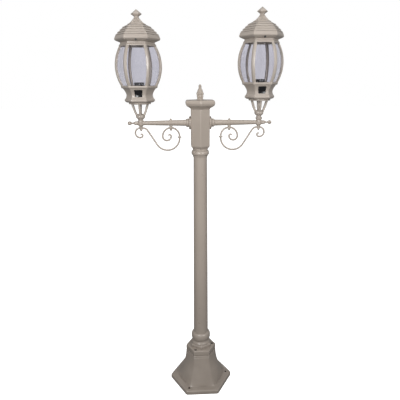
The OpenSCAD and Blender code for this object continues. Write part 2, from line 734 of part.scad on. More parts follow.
// Rounds the corners of a path, each by at most reach from its point
function soften(p, reach) = let (m = len(p) - 1) concat([p[0]],
    [for (i = [1:m - 1], t = [0:0.25:1]) let (
            back = p[i - 1] - p[i],
            on = p[i + 1] - p[i],
            a = p[i] + back * min(0.4, reach / norm(back)),
            b = p[i] + on * min(0.4, reach / norm(on)))
        (1 - t) * (1 - t) * a + 2 * t * (1 - t) * p[i] + t * t * b],
    [p[m]]);

// Rings of a round wire along a path that never runs along Y
function wire_rings(p, r, sides) = let (m = len(p) - 1) [for (i = [0:m]) let (
        t = p[min(i + 1, m)] - p[max(i - 1, 0)],
        s = cross([0, 1, 0], t) / norm(cross([0, 1, 0], t)),
        n = cross(t, s) / norm(t))
    [for (j = [0:sides - 1]) p[i] + r * (s * cos(360 * j / sides) + n * sin(360 * j / sides))]];

module lead(side) color(copper_red) on_side(side) {
    terminals = z_block + block_neck_h + block_chamfer_h + 28;
    side_y = clip_d / 2 + 1.6;
    skin(wire_rings(soften([[8, 15, terminals], [8, 15, z_arm - 12], [18, side_y, z_arm],
        [arm_reach - 24, side_y, z_arm], [arm_reach - 12, 0, z_arm], [arm_reach, 0, z_arm],
        [arm_reach, 0, z_foot + lift(side) + conduit_top - 1]], 5), 1.3, 8));
}

plinth();
base_cover();
base_screws();
base_bead();
column();
column_ring();
head_block();
head_cap();
post_finial();
tie_rod();
tie_nut();
terminal_block();
arm_locknuts();
clip_bolts();
stem_studs();
scroll_drops();
conduit_nuts();
right_stem_ring();
for (side = SIDES) {
    arm(side);
    arm_flange(side);
    arm_tip(side);
    scroll(side);
    lead(side);
    stem(side);
    conduit(side);
    bowl(side);
    window(side);
    cage(side);
    lamp_holder(side);
    roof(side);
    spire(side);
    hinge_pin(side);
    lock_screw(side);
    for (k = [1:6]) pane(side, k);
}
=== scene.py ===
import bpy
import bmesh
import json
import math
from mathutils import Matrix, Vector

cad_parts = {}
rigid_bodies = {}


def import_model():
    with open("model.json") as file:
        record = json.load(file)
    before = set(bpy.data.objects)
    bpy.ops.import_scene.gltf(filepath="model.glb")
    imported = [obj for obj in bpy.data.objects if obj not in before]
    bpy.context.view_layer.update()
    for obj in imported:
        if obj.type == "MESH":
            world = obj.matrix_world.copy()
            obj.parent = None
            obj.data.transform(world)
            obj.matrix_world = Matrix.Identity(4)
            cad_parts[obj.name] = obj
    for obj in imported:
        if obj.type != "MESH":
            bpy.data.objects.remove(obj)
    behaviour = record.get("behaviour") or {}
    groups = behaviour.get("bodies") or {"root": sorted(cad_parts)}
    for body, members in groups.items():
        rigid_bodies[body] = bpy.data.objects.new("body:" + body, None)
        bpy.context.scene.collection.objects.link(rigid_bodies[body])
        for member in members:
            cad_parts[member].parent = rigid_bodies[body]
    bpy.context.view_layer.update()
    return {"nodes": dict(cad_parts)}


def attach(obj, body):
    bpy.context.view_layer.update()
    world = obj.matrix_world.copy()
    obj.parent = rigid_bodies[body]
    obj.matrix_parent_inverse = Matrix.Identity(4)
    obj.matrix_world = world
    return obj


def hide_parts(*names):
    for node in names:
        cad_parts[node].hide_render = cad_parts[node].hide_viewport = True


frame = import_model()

mm = 0.001
scene = bpy.context.scene
print("frame loaded")


# finishes: every one is a node tree on Object coordinates

def newMaterial(name):
    mat = bpy.data.materials.new(name)
    mat.use_nodes = True
    tree = mat.node_tree
    shader = tree.nodes["Principled BSDF"]
    where = tree.nodes.new("ShaderNodeTexCoord").outputs["Object"]
    return mat, tree, shader, where


def feed(tree, socket, value):
    if isinstance(value, bpy.types.NodeSocket):
        tree.links.new(value, socket)
    else:
        socket.default_value = value


def node(tree, kind, given=(), **settings):
    made = tree.nodes.new(kind)
    for key, value in settings.items():
        setattr(made, key, value)
    for key, value in dict(given).items():
        feed(tree, made.inputs[key], value)
    return made


def sums(tree, operation, *values):
    return node(tree, "ShaderNodeMath", dict(enumerate(values)), operation=operation).outputs[0]


def noiseAt(tree, where, scale, detail=3.0):
    given = {"Vector": where, "Scale": scale, "Detail": detail, "Roughness": 0.55}
    return node(tree, "ShaderNodeTexNoise", given).outputs["Fac"]


def rangeOf(tree, value, low, high, toLow, toHigh):
    given = {"Value": value, "From Min": low, "From Max": high, "To Min": toLow, "To Max": toHigh}
    return node(tree, "ShaderNodeMapRange", given).outputs[0]


def noiseRange(tree, where, scale, detail, span, toLow, toHigh):
    # a noise whose values between the two of span are spread over a new range
    return rangeOf(tree, noiseAt(tree, where, scale, detail), *span, toLow, toHigh)


def mixColours(tree, factor, a, b):
    first, second = ((*c, 1) if isinstance(c, tuple) else c for c in (a, b))
    return node(tree, "ShaderNodeMix", {0: factor, 6: first, 7: second}, data_type="RGBA").outputs[2]


def bumpOf(tree, height, strength, distance, under=None):
    given = {"Height": height, "Strength": strength, "Distance": distance}
    if under is not None:
        given["Normal"] = under
    return node(tree, "ShaderNodeBump", given).outputs["Normal"]


def setShader(tree, shader, **values):
    # inputs by their names, with the spaces left out
    for socket in shader.inputs:
        key = socket.name.replace(" ", "")
        if key in values:
            feed(tree, socket, values[key])


paintLook = {
    "cast": {"colour": (0.435, 0.375, 0.322), "dusty": (0.38, 0.325, 0.275), "rough": (0.30, 0.42),
             "peel": 230.0, "peelStrength": 0.16, "grain": 1500.0, "grainStrength": 0.10},
    "tube": {"colour": (0.43, 0.37, 0.318), "dusty": (0.395, 0.338, 0.288), "rough": (0.27, 0.34),
             "peel": 170.0, "peelStrength": 0.07, "grain": 1800.0, "grainStrength": 0.05},
    "lantern": {"colour": (0.455, 0.40, 0.350), "dusty": (0.415, 0.36, 0.312), "rough": (0.30, 0.42),
                "peel": 260.0, "peelStrength": 0.14, "grain": 1600.0, "grainStrength": 0.10},
}
# hollows, the lower post and the anchor holes get painted shade colours; the edge and speck colours are worn
# paint
wearAndShadeLook = {
    "grime": (0.17, 0.14, 0.115), "bare": (0.60, 0.54, 0.48), "splash": (0.20, 0.17, 0.145),
    "boreShade": (0.012, 0.011, 0.010), "speck": (0.25, 0.21, 0.18),
    "splashLow": 0.05, "splashHigh": 0.75, "splashMost": 0.55,
}


def powderPaint(name, look, wearAndShade=wearAndShadeLook):
    mat, tree, shader, where = newMaterial(name)
    clouds = noiseRange(tree, where, 5.0, 4.0, (0.35, 0.68), 0.0, 1.0)
    colour = mixColours(tree, clouds, look["colour"], look["dusty"])
    # paint thins on worn edges, and hollows get painted shade: darker where ambient light is shut out
    edge = node(tree, "ShaderNodeNewGeometry").outputs["Pointiness"]
    colour = mixColours(tree, rangeOf(tree, edge, 0.44, 0.5, 0.30, 0.0), colour, wearAndShade["grime"])
    colour = mixColours(tree, rangeOf(tree, edge, 0.51, 0.60, 0.0, 0.30), colour, wearAndShade["bare"])
    # painted shade towards the foot: darker towards the bottom, mottled, fading out up the post
    height = node(tree, "ShaderNodeSeparateXYZ", {0: where}).outputs[2]
    fade = rangeOf(tree, height, wearAndShade["splashLow"], wearAndShade["splashHigh"], wearAndShade["splashMost"], 0.0)
    splash = sums(tree, "MULTIPLY", fade, noiseRange(tree, where, 16.0, 4.0, (0.3, 0.7), 0.85, 1.15))
    colour = mixColours(tree, splash, colour, wearAndShade["splash"])
    # painted shade inside the anchor holes, near black
    boreShade = node(tree, "ShaderNodeAttribute", attribute_name="boreShade").outputs["Fac"]
    colour = mixColours(tree, boreShade, colour, wearAndShade["boreShade"])
    specks = noiseRange(tree, where, 420.0, 2.0, (0.70, 0.78), 0.0, 0.25)
    peel = bumpOf(tree, noiseAt(tree, where, look["peel"], 2.0), look["peelStrength"], 0.0006)
    grain = bumpOf(tree, noiseAt(tree, where, look["grain"], 2.0), look["grainStrength"], 0.0002, peel)
    setShader(tree, shader, BaseColor=mixColours(tree, specks, colour, wearAndShade["speck"]), Normal=grain,
              Roughness=noiseRange(tree, where, 38.0, 4.0, (0.3, 0.7), *look["rough"]),
              SpecularIORLevel=0.5, CoatWeight=0.35, CoatRoughness=0.14)
    return mat


def brightSteel(name, colour=(0.58, 0.58, 0.60)):
    mat, tree, shader, where = newMaterial(name)
    scratches = noiseAt(tree, where, 160.0, 6.0)
    dull = tuple(c * 0.72 for c in colour)
    tone = mixColours(tree, rangeOf(tree, scratches, 0.3, 0.7, 0.0, 0.6), colour, dull)
    setShader(tree, shader, BaseColor=tone, Metallic=1.0, Normal=bumpOf(tree, scratches, 0.12, 0.0002),
              Roughness=noiseRange(tree, where, 90.0, 3.0, (0.3, 0.7), 0.26, 0.44))
    return mat


def darkPlastic(name, look):
    mat, tree, shader, where = newMaterial(name)
    worn = noiseRange(tree, where, 70.0, 3.0, (0.35, 0.65), 0.0, 1.0)
    setShader(tree, shader, BaseColor=mixColours(tree, worn, look["colour"], look["worn"]),
              Roughness=noiseRange(tree, where, 120.0, 3.0, (0.3, 0.7), *look["rough"]),
              Normal=bumpOf(tree, noiseAt(tree, where, look["grain"], 2.0), look["bump"], 0.0003))
    return mat


plasticLook = {
    "insert": {"colour": (0.006, 0.006, 0.007), "worn": (0.012, 0.012, 0.013), "rough": (0.16, 0.24),
               "grain": 60.0, "bump": 0.03},
    "holder": {"colour": (0.012, 0.012, 0.013), "worn": (0.025, 0.024, 0.024), "rough": (0.24, 0.36),
               "grain": 900.0, "bump": 0.10},
    "screw": {"colour": (0.018, 0.018, 0.02), "worn": (0.06, 0.055, 0.05), "rough": (0.35, 0.5),
              "grain": 1200.0, "bump": 0.12},
    "terminal": {"colour": (0.72, 0.70, 0.62), "worn": (0.62, 0.60, 0.52), "rough": (0.4, 0.52),
                 "grain": 900.0, "bump": 0.08},
    "wire": {"colour": (0.36, 0.05, 0.035), "worn": (0.28, 0.04, 0.03), "rough": (0.38, 0.5),
             "grain": 700.0, "bump": 0.08},
}
glassLook = {"tint": (0.72, 0.715, 0.76), "dust": (0.64, 0.63, 0.67), "rough": (0.012, 0.05), "bend": 1.45}


def paneGlass(name, look):
    mat, tree, shader, where = newMaterial(name)
    haze = noiseRange(tree, where, 9.0, 4.0, (0.40, 0.75), 0.0, 0.35)
    # drawn glass is never quite flat
    setShader(tree, shader, BaseColor=mixColours(tree, haze, look["tint"], look["dust"]),
              Roughness=noiseRange(tree, where, 30.0, 4.0, (0.4, 0.8), *look["rough"]),
              Normal=bumpOf(tree, noiseAt(tree, where, 14.0, 1.0), 0.10, 0.002),
              TransmissionWeight=1.0, IOR=look["bend"])
    return mat


castPaint = powderPaint("castPowderPaint", paintLook["cast"])
tubePaint = powderPaint("tubePowderPaint", paintLook["tube"])
lanternPaint = powderPaint("lanternPowderPaint", paintLook["lantern"])
zincSteel = brightSteel("zincSteel")
blackInsert = darkPlastic("blackInsert", plasticLook["insert"])
holderPlastic = darkPlastic("holderPlastic", plasticLook["holder"])
screwBlack = darkPlastic("screwBlack", plasticLook["screw"])
terminalPlastic = darkPlastic("terminalPlastic", plasticLook["terminal"])
wirePlastic = darkPlastic("wirePlastic", plasticLook["wire"])
clearPane = paneGlass("clearPane", glassLook)
print("finishes made")


# geometry node trees

def newTree(name, fields):
    tree = bpy.data.node_groups.new(name, "GeometryNodeTree")
    tree.interface.new_socket("Geometry", in_out="INPUT", socket_type="NodeSocketGeometry")
    tree.interface.new_socket("Geometry", in_out="OUTPUT", socket_type="NodeSocketGeometry")
    for label, kind in fields:
        tree.interface.new_socket(label, in_out="INPUT", socket_type="NodeSocket" + kind)
    return tree, tree.nodes.new("NodeGroupInput"), tree.nodes.new("NodeGroupOutput")


def endTree(tree, geometry, material, end):
    plain = node(tree, "GeometryNodeRealizeInstances", {0: geometry})
    painted = node(tree, "GeometryNodeSetMaterial", {"Geometry": plain.outputs[0], "Material": material})
    tree.links.new(painted.outputs[0], end.inputs[0])


def makeTurnedTree():
    # a profile's points carried round a rounded hexagon, each row as round and as fluted as it says
    tree, start, end = newTree("turnedCasting", [
        ("Rows", "Int"), ("Columns", "Int"), ("Edge Sharpness", "Float"),
        ("Turn", "Float"), ("Flutes", "Float"), ("Material", "Material")])
    rows, columns = start.outputs["Rows"], start.outputs["Columns"]
    grid = node(tree, "GeometryNodeMeshGrid", {"Vertices X": columns, "Vertices Y": rows})
    index = node(tree, "GeometryNodeInputIndex").outputs[0]
    row = sums(tree, "ROUND", sums(tree, "MODULO", index, rows))
    column = sums(tree, "FLOOR", sums(tree, "DIVIDE", sums(tree, "ADD", index, 0.5), rows))

    def ofRow(value, kind):
        given = {"Geometry": start.outputs["Geometry"], "Value": value, "Index": row}
        return node(tree, "GeometryNodeSampleIndex", given, data_type=kind, domain="POINT").outputs[0]

    def named(label):
        return ofRow(node(tree, "GeometryNodeInputNamedAttribute", {"Name": label}).outputs[0], "FLOAT")

    spot = ofRow(node(tree, "GeometryNodeInputPosition").outputs[0], "FLOAT_VECTOR")
    parts = node(tree, "ShaderNodeSeparateXYZ", {0: spot})
    radius, height = parts.outputs[0], parts.outputs[2]
    flute, roundness = named("flute"), named("roundness")
    sector = sums(tree, "MULTIPLY", sums(tree, "DIVIDE", column, sums(tree, "SUBTRACT", columns, 1.0)), 6.0)
    whole = sums(tree, "FLOOR", sums(tree, "ADD", sector, 0.0001))
    part = sums(tree, "SUBTRACT", sector, whole)
    swing = sums(tree, "SUBTRACT", sums(tree, "MULTIPLY", part, 2.0), 1.0)
    # columns crowd towards the corners
    phi = sums(tree, "MULTIPLY", sums(tree, "SINE", sums(tree, "MULTIPLY", swing, math.pi / 2)), math.pi / 6)
    theta = sums(tree, "ADD", sums(tree, "MULTIPLY", sums(tree, "ADD", whole, 0.5), math.pi / 3), phi)
    sharp = start.outputs["Edge Sharpness"]
    near = sums(tree, "POWER", sums(tree, "COSINE", phi), sharp)
    far = sums(tree, "SUBTRACT", math.pi / 3, sums(tree, "ABSOLUTE", phi))
    far = sums(tree, "POWER", sums(tree, "COSINE", far), sharp)
    bow = sums(tree, "POWER", sums(tree, "ADD", near, far), sums(tree, "DIVIDE", 1.0, sharp))
    hexagon = sums(tree, "DIVIDE", math.cos(math.pi / 6), bow)
    sixSided = sums(tree, "MULTIPLY", hexagon, sums(tree, "SUBTRACT", 1.0, roundness))
    shape = sums(tree, "ADD", sixSided, roundness)
    wave = sums(tree, "ABSOLUTE", sums(tree, "SINE", sums(tree, "MULTIPLY", theta,
                sums(tree, "MULTIPLY", start.outputs["Flutes"], 0.5))))
    cut = sums(tree, "SUBTRACT", 1.0, sums(tree, "MULTIPLY", flute, sums(tree, "SUBTRACT", 1.0, wave)))
    reach = sums(tree, "MULTIPLY", sums(tree, "MULTIPLY", radius, shape), cut)
    angle = sums(tree, "ADD", theta, start.outputs["Turn"])
    spot = node(tree, "ShaderNodeCombineXYZ", {
        0: sums(tree, "MULTIPLY", reach, sums(tree, "COSINE", angle)),
        1: sums(tree, "MULTIPLY", reach, sums(tree, "SINE", angle)), 2: height})
    moved = node(tree, "GeometryNodeSetPosition", {
        "Geometry": grid.outputs["Mesh"], "Position": spot.outputs[0]})
    merged = node(tree, "GeometryNodeMergeByDistance", {"Geometry": moved.outputs[0], "Distance": 0.000004})
    endTree(tree, merged.outputs[0], start.outputs["Material"], end)
    return tree


def makeAroundTree():
    # the piece it is given, repeated about the vertical axis
    tree, start, end = newTree("aroundAxis", [
        ("Count", "Int"), ("First Angle", "Float"), ("Material", "Material")])
    line = node(tree, "GeometryNodeMeshLine", {"Count": start.outputs["Count"], "Offset": (0.0, 0.0, 0.0)})
    index = node(tree, "GeometryNodeInputIndex").outputs[0]
    step = sums(tree, "DIVIDE", 2 * math.pi, start.outputs["Count"])
    angle = sums(tree, "ADD", sums(tree, "MULTIPLY", index, step), start.outputs["First Angle"])
    spin = node(tree, "ShaderNodeCombineXYZ", {2: angle})
    placed = node(tree, "GeometryNodeInstanceOnPoints", {
        "Points": line.outputs["Mesh"], "Instance": start.outputs["Geometry"], "Rotation": spin.outputs[0]})
    endTree(tree, placed.outputs[0], start.outputs["Material"], end)
    return tree


def makeSweepTree():
    # a round rod along a path, thinner towards its two ends
    tree, start, end = newTree("sweptRod", [
        ("Radius", "Float"), ("Sides", "Int"), ("End Taper", "Float"), ("Material", "Material")])
    path = node(tree, "GeometryNodeMeshToCurve", {0: start.outputs["Geometry"]})
    along = node(tree, "GeometryNodeSplineParameter").outputs["Factor"]
    edge = sums(tree, "MINIMUM", along, sums(tree, "SUBTRACT", 1.0, along))
    grown = sums(tree, "ADD", sums(tree, "MULTIPLY", edge, 14.0), start.outputs["End Taper"])
    size = sums(tree, "MINIMUM", grown, 1.0)
    sized = node(tree, "GeometryNodeSetCurveRadius", {"Curve": path.outputs[0], "Radius": size})
    section = node(tree, "GeometryNodeCurvePrimitiveCircle", {
        "Resolution": start.outputs["Sides"], "Radius": start.outputs["Radius"]})
    given = {"Curve": sized.outputs[0], "Profile Curve": section.outputs[0], "Fill Caps": True}
    rod = node(tree, "GeometryNodeCurveToMesh", given)
    if "Scale" in rod.inputs:
        feed(tree, rod.inputs["Scale"], size)
    endTree(tree, rod.outputs[0], start.outputs["Material"], end)
    return tree


def oneFinish(mesh, material):
    mesh.materials.clear()
    mesh.materials.append(material)
    for poly in mesh.polygons:
        poly.material_index = 0
    return mesh


def runTree(tree, source, settings):
    holder = bpy.data.objects.new("holder", source)
    scene.collection.objects.link(holder)
    step = holder.modifiers.new("build", "NODES")
    step.node_group = tree
    for item in tree.interface.items_tree:
        if item.item_type == "SOCKET" and item.in_out == "INPUT" and item.name in settings:
            step[item.identifier] = settings[item.name]
    graph = bpy.context.evaluated_depsgraph_get()
    made = bpy.data.meshes.new_from_object(holder.evaluated_get(graph))
    holder.modifiers.remove(step)
    bpy.data.objects.remove(holder)
    return oneFinish(made, settings["Material"])


turnedTree = makeTurnedTree()
aroundTree = makeAroundTree()
sweepTree = makeSweepTree()
print("node trees made")


# mesh helpers

def cleanMesh(mesh, weld=0.000003):
    bm = bmesh.new()
    bm.from_mesh(mesh)
    bmesh.ops.remove_doubles(bm, verts=bm.verts, dist=weld)
    bmesh.ops.dissolve_degenerate(bm, edges=bm.edges, dist=0.000002)
    bmesh.ops.recalc_face_normals(bm, faces=bm.faces)
    bm.to_mesh(mesh)
    bm.free()
    return mesh


def shadeByAngle(mesh, degrees):
    for poly in mesh.polygons:
        poly.use_smooth = True
    mesh.set_sharp_from_angle(angle=math.radians(degrees))
    return mesh


def joined(meshes):
    bm = bmesh.new()
    for mesh in meshes:
        bm.from_mesh(mesh)
    made = bpy.data.meshes.new("joined")
    bm.to_mesh(made)
    bm.free()
    return oneFinish(made, meshes[0].materials[0])


def moved(mesh, matrix):
    made = mesh.copy()
    made.transform(matrix)
    return made


def shift(x=0.0, y=0.0, z=0.0):
    return Matrix.Translation((x * mm, y * mm, z * mm))


def shifted(mesh, x):
    return moved(mesh, shift(x))


def closed(line):
    return [*line, line[0]]


alongX = Matrix.Rotation(math.radians(90), 4, "Y")
towardsFront = Matrix.Rotation(math.radians(90), 4, "X")


def carved(mesh, cutters):
    body = bpy.data.objects.new("body", mesh)
    scene.collection.objects.link(body)
    tools = []
    for cutter in cutters:
        tool = bpy.data.objects.new("tool", cleanMesh(cutter))
        scene.collection.objects.link(tool)
        step = body.modifiers.new("cut", "BOOLEAN")
        step.operation = "DIFFERENCE"
        step.solver = "EXACT"
        step.object = tool
        tools.append(tool)
    graph = bpy.context.evaluated_depsgraph_get()
    made = bpy.data.meshes.new_from_object(body.evaluated_get(graph))
    for thing in tools + [body]:
        bpy.data.objects.remove(thing)
    return oneFinish(made, mesh.materials[0])


def rounded(points, radius, steps=4):
    # a polyline with its inner corners replaced by small arcs
    line = [points[0]]
    for i in range(1, len(points) - 1):
        p = Vector(points[i])
        back, on = Vector(points[i - 1]) - p, Vector(points[i + 1]) - p
        reach = min(radius, back.length * 0.45, on.length * 0.45)
        turn = math.pi - back.angle(on) if back.length and on.length else 0
        if turn < 0.05:
            line.append(tuple(p))
            continue
        a, b = p + back.normalized() * reach, p + on.normalized() * reach
        n = max(2, min(steps, int(turn * 3) + 1))
        for k in range(n + 1):
            t = k / n
            line.append(tuple(a * (1 - t) ** 2 + p * 2 * t * (1 - t) + b * t * t))
    line.append(points[-1])
    return line


def spline(points, steps=4):
    # a smooth line through every point
    p = [Vector(q) for q in points]
    p = [p[0] * 2 - p[1]] + p + [p[-1] * 2 - p[-2]]
    line = []
    for i in range(1, len(p) - 2):
        for k in range(steps):
            t = k / steps
            a, b, c, d = p[i - 1], p[i], p[i + 1], p[i + 2]
            line.append(tuple(0.5 * (b * 2 + (c - a) * t + (a * 2 - b * 5 + c * 4 - d) * t * t
                                     + (b * 3 - a - c * 3 + d) * t ** 3)))
    line.append(tuple(p[-2]))
    return line


def profileMesh(points, rowValues):
    made = bpy.data.meshes.new("profile")
    dots = [(r * mm, 0.0, z * mm) for r, z in points]
    made.from_pydata(dots, [(i, i + 1) for i in range(len(dots) - 1)], [])
    for name, value in rowValues.items():
        spots = made.attributes.new(name, "FLOAT", "POINT").data
        for spot, (r, z) in zip(spots, points):
            spot.value = value(r, z) if callable(value) else value
    return made


def turned(points, material, sides="round", columns=None, turn=0.0, sharpness=70.0, flutes=0, flute=0.0,
           roundness=0.0):
    # flute and roundness are numbers, or functions of a row's radius and height
    hexagonal = sides == "hex"
    columns = columns or (73 if hexagonal else 49)
    rows = profileMesh(points, {"flute": flute, "roundness": roundness if hexagonal else 1.0})
    mesh = runTree(turnedTree, rows, {
        "Rows": len(points), "Columns": columns, "Edge Sharpness": sharpness,
        "Turn": math.radians(turn), "Flutes": float(flutes), "Material": material})
    return cleanMesh(mesh)


def around(mesh, count, firstAngle, material):
    return cleanMesh(runTree(aroundTree, mesh, {
        "Count": count, "First Angle": math.radians(firstAngle), "Material": material}))


def rod(path, radius, material, sides=14, taper=1.0):
    source = bpy.data.meshes.new("path")
    spots = [tuple(c * mm for c in p) for p in path]
    source.from_pydata(spots, [(i, i + 1) for i in range(len(path) - 1)], [])
    return cleanMesh(runTree(sweepTree, source, {
        "Radius": radius * mm, "Sides": sides, "End Taper": taper, "Material": material}))


def block(low, high, bevel, material):
    bm = bmesh.new()
    bmesh.ops.create_cube(bm, size=1.0)
    for v in bm.verts:
        v.co = Vector([(low[i] + high[i]) / 2 + v.co[i] * (high[i] - low[i]) for i in range(3)]) * mm
    if bevel:
        bmesh.ops.bevel(bm, geom=list(bm.edges), offset=bevel * mm, segments=3, profile=0.5, affect="EDGES")
    made = bpy.data.meshes.new("block")
    bm.to_mesh(made)
    bm.free()
    made.materials.append(material)
    return made


def loft(rings, material):
    # closed solid through rings of points
    n, m = len(rings[0]), len(rings)
    faces = [tuple(range(n - 1, -1, -1)), tuple((m - 1) * n + i for i in range(n))]
    for j in range(m - 1):
        for i in range(n):
            k = (i + 1) % n
            faces.append((j * n + i, j * n + k, (j + 1) * n + k, (j + 1) * n + i))
    made = bpy.data.meshes.new("loft")
    made.from_pydata([tuple(c * mm for c in p) for ring in rings for p in ring], [], faces)
    made.materials.append(material)
    return cleanMesh(made)


def makePiece(name, mesh, body, nodes, angle=32):
    cleanMesh(mesh)
    shadeByAngle(mesh, angle)
    mesh.name = name
    piece = bpy.data.objects.new(name, mesh)
    scene.collection.objects.link(piece)
    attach(piece, body)
    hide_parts(*nodes)
    return piece


def cylinderTool(radius, low, high, sides=32):
    return turned([(0, low), (radius, low), (radius, high), (0, high)], castPaint, columns=sides + 1)


thirds = [math.radians(120 * k) for k in range(3)]


def atThirds(tool, circle):
    # three of the tool on a circle about the post
    return [moved(tool, Matrix.Rotation(turn, 4, "Z") @ shift(circle)) for turn in thirds]


# foot

plinthShape = {
    "rim": [(100, 0), (144.4, 0), (146, 1.6), (146, 14), (144.4, 18), (141, 20)],
    "bell": [(141, 20), (127, 20.8), (116, 21.6), (111.4, 24.2), (107.6, 30), (103, 38), (98, 48), (93, 59),
             (88.5, 70), (84.5, 81), (80.5, 92), (77.2, 103), (74.5, 115), (72.2, 127), (70.8, 140),
             (70.2, 147.4)],
    "groove": [(70.2, 147.4), (69.2, 148.4), (69.2, 149.6), (70.1, 150.6), (70, 156.6), (69, 157.9)],
    "inside": [(28, 157.9), (28, 148), (59, 148), (66, 112), (76, 76), (86, 50), (100, 12)],
    "anchors": {"circle": 120, "hole": 4.5, "spot": 8.0, "spotHeight": 20},
    "edgeSharpness": 60.0, "softest": 0.72, "softLow": 22, "softHigh": 158,
}


def buildPlinth(look):
    outline = rounded(look["rim"], 3.0, 5) + spline(look["bell"], 4)[1:] + rounded(look["groove"], 0.6)[1:]
    outline += rounded([*look["inside"], (100, 0)], 2.0)
    low, high = look["softLow"], look["softHigh"]

    def softness(r, z):
        # six crisp sides at the rim and under the cover, rounder between them
        t = (z - low) / (high - low)
        return look["softest"] * math.sin(math.pi * t ** 0.7) ** 0.5 if 0 < t < 1 and r > 60 else 0.0

    mesh = turned(outline, castPaint, "hex", columns=97, sharpness=look["edgeSharpness"], roundness=softness)
    hole = look["anchors"]
    spots = atThirds(cylinderTool(hole["spot"], hole["spotHeight"], 60), hole["circle"])
    holes = atThirds(cylinderTool(hole["hole"], -5, 60, 24), hole["circle"])
    mesh = carved(mesh, [cut for pair in zip(spots, holes) for cut in pair])
    # the anchor holes get painted shade: faces round them are painted near black
    boreShade = mesh.attributes.new("boreShade", "FLOAT", "FACE").data
    middles = [Vector((math.cos(turn), math.sin(turn))) * hole["circle"] * mm for turn in thirds]
    for face in mesh.polygons:
        away = min((face.center.xy - middle).length for middle in middles)
        boreShade[face.index].value = 1.0 if away < (hole["hole"] + 0.2) * mm else 0.0
    return makePiece("plinthCasting", mesh, "post", ["plinth"])


coverShape = {
    "shoulder": [(0, 158.2), (66.5, 158.2), (68, 159.4), (69.6, 162), (69.6, 178), (68.4, 182), (65, 184),
                 (0, 184)],
    "step": [(0, 182), (48.8, 182), (48.8, 187.4), (50.4, 188.8), (50.4, 196), (45.4, 201), (45.2, 204),
             (0, 204)],
    "neck": [(0, 202), (42.6, 202), (43.6, 204.2), (43.4, 206.6), (41.6, 208.6), (39.4, 212), (38.2, 215),
             (38, 216.9), (0, 216.9)],
    "screws": {"circle": 54, "recess": 6.7, "floor": 175},
}


def buildCover(look):
    screws = look["screws"]
    shoulder = turned(rounded(look["shoulder"], 1.0), castPaint, "hex", columns=97, sharpness=80)
    recess = cylinderTool(screws["recess"], screws["floor"], 190)
    shoulder = carved(shoulder, atThirds(recess, screws["circle"]))
    step = turned(rounded(look["step"], 1.0), castPaint, "hex", columns=97, turn=30, sharpness=160)
    neck = turned(rounded(look["neck"], 1.6), castPaint, columns=73)
    makePiece("baseCover", joined([shoulder, step, neck]), "post", ["base_cover"])


screwShape = {
    "head": [(0, 142), (3, 142), (3, 175), (5.6, 175), (6, 175.4), (6, 180.2), (5.4, 181), (0, 181)],
    "socket": [(0, 177.5), (3.1, 177.5), (3.1, 190), (0, 190)],
}


def buildScrews(look):
    screw = turned(look["head"], screwBlack, columns=37)
    key = turned(look["socket"], screwBlack, "hex", columns=25, sharpness=200)
    screw = shifted(carved(screw, [key]), coverShape["screws"]["circle"])
    makePiece("coverScrews", around(screw, 3, 0, screwBlack), "post", ["base_screws"])


buildPlinth(plinthShape)
buildCover(coverShape)
buildScrews(screwShape)
print("foot built")

# column

columnShape = {
    "bead": [(33.4, 217), (38, 217), (38.2, 219.2), (39.4, 221.4), (41.6, 225), (43.2, 230.4), (43.6, 236),
             (43.3, 241.6), (42.1, 246.8), (39.8, 251.6), (36.8, 255.2), (35.4, 256), (33.3, 256)],
    "tube": [(29.2, 217), (33.3, 217), (28, 1112.9), (24, 1112.9), (29.2, 217)],
    "ring": [(28.3, 1086.2), (30.2, 1086.2), (30.9, 1087.2), (30.9, 1091), (31.6, 1093), (33.8, 1094.2),
             (35.6, 1096.6), (36.5, 1100), (36.6, 1103), (36.5, 1106), (35.6, 1109.4), (33.8, 1111.8),
             (31.6, 1112.9), (28.3, 1112.9)],
}


def buildColumn(look):
    bead = look["bead"][:3] + spline(look["bead"][3:11], 3) + look["bead"][11:]
    makePiece("baseBead", turned(closed(bead), castPaint, columns=97), "post", ["base_bead"])
    foot, head = Vector(look["tube"][1]), Vector(look["tube"][2])
    outer = [tuple(foot.lerp(head, t / 24)) for t in range(25)]
    tube = turned([look["tube"][0]] + outer + [look["tube"][3], look["tube"][0]], tubePaint, columns=97)
    makePiece("columnTube", tube, "post", ["column"])
    ring = turned(closed(look["ring"]), castPaint, columns=97)
    makePiece("columnRing", ring, "post", ["column_ring"])


buildColumn(columnShape)

headShape = {
    "neckRound": [(0, 1083.5), (23.4, 1083.5), (23.4, 1113.1), (31, 1113.1), (31, 1120.5), (0, 1120.5)],
    "body": [(0, 1119.4), (33.5, 1119.4), (43.9, 1131), (43.9, 1279.9), (0, 1279.9)],
    "cap": [(43.9, 1280.1), (45.6, 1282), (50, 1286), (57.4, 1290), (63.3, 1293.6), (65.7, 1297.6),
            (67.5, 1301.5), (67.3, 1305), (66.8, 1308.6), (65, 1312.4), (60.5, 1314.8), (50, 1315.6)],
    "finial": [(13.9, 1316.1), (14, 1317.5), (12.4, 1319.4), (11.1, 1321), (12.7, 1325), (14.3, 1329),
               (13.8, 1333), (15.3, 1336.5), (15.6, 1340), (14.2, 1344), (11.7, 1348), (10.3, 1352), (8.7, 1356),
               (6.5, 1360), (6, 1363), (6.4, 1367), (5.2, 1371.4), (2.6, 1374.4), (0, 1375.8)],
    "leaf": (1336, 17, 0.30), "leafTip": (1364, 9, 0.22),
}


